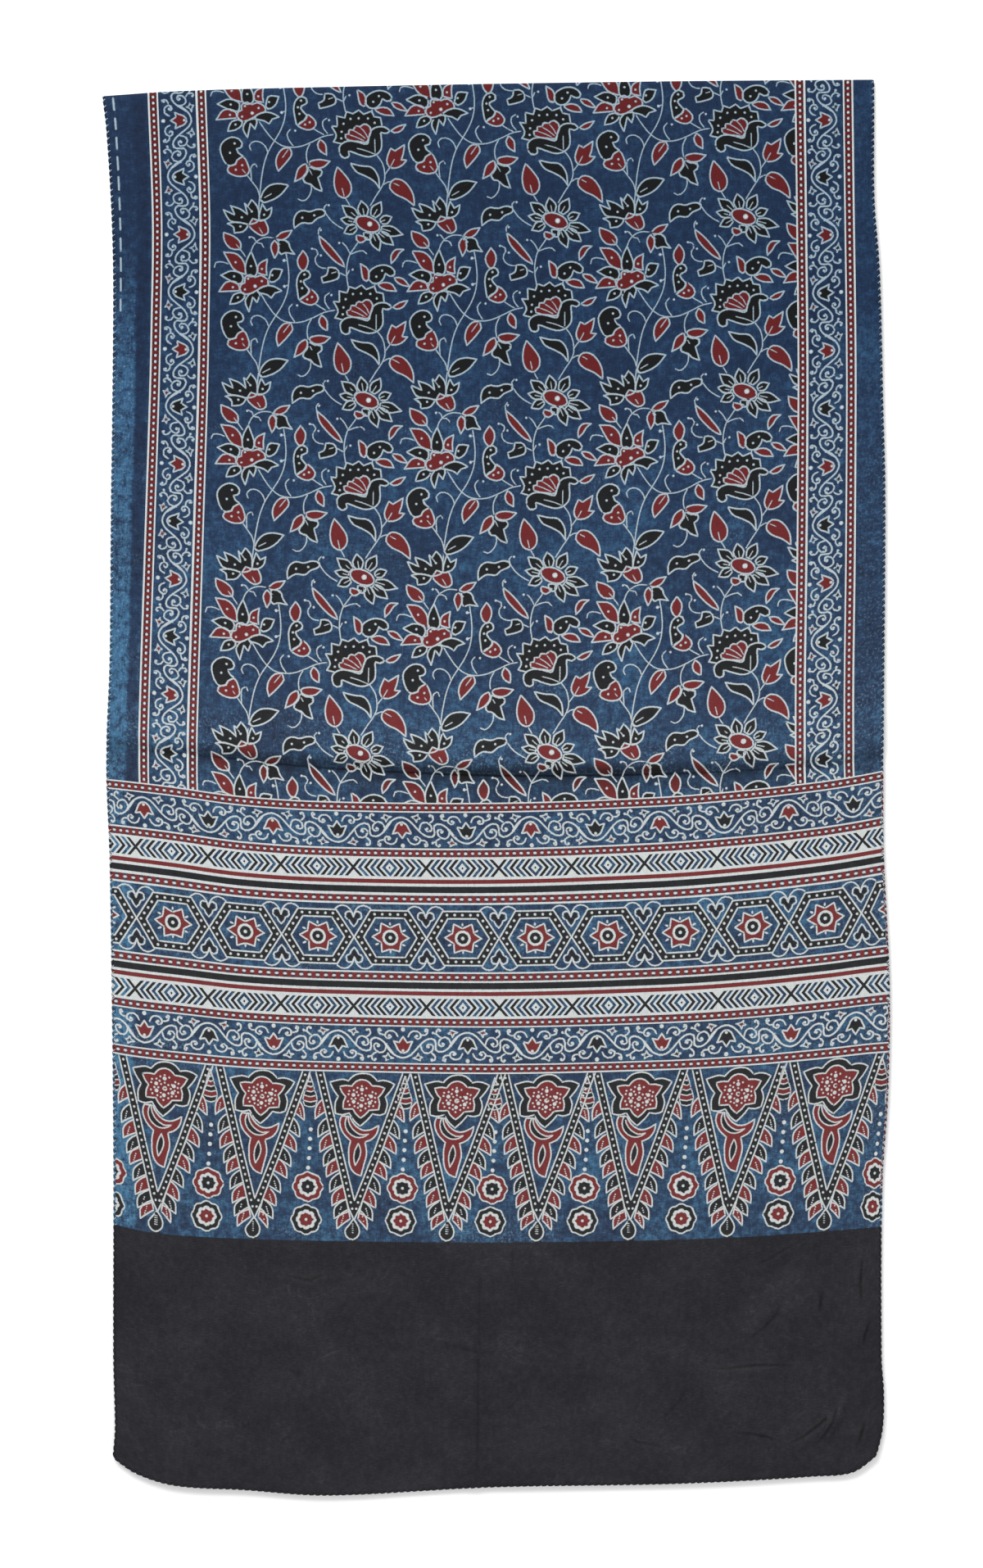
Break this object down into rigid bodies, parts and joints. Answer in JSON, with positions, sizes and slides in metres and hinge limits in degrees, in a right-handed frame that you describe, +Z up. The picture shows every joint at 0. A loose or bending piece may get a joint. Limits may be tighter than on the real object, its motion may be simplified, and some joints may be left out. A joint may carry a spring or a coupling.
{
  "type": "ajrakh stole",
  "caption": "Block-printed rectangular stole of thin soft cloth with rolled hems, folded once across its length and lying flat, printed end face up.",
  "frame": {"origin": "centre of the bounding box of the folded cloth, on the surface that it rests on", "axes": "+Z up out of the printed face, +Y along the length of the cloth towards the fold, +X across its width"},
  "size_m": [0.57, 1.0276, 0.0102],
  "materials": {
    "printed_cloth": "soft silk and modal weave, resist-printed in indigo, madder red and iron black, with a low sheen"
  },
  "bodies": {
    "root": {"folded_cloth": "printed_cloth"}
  },
  "joints": []
}
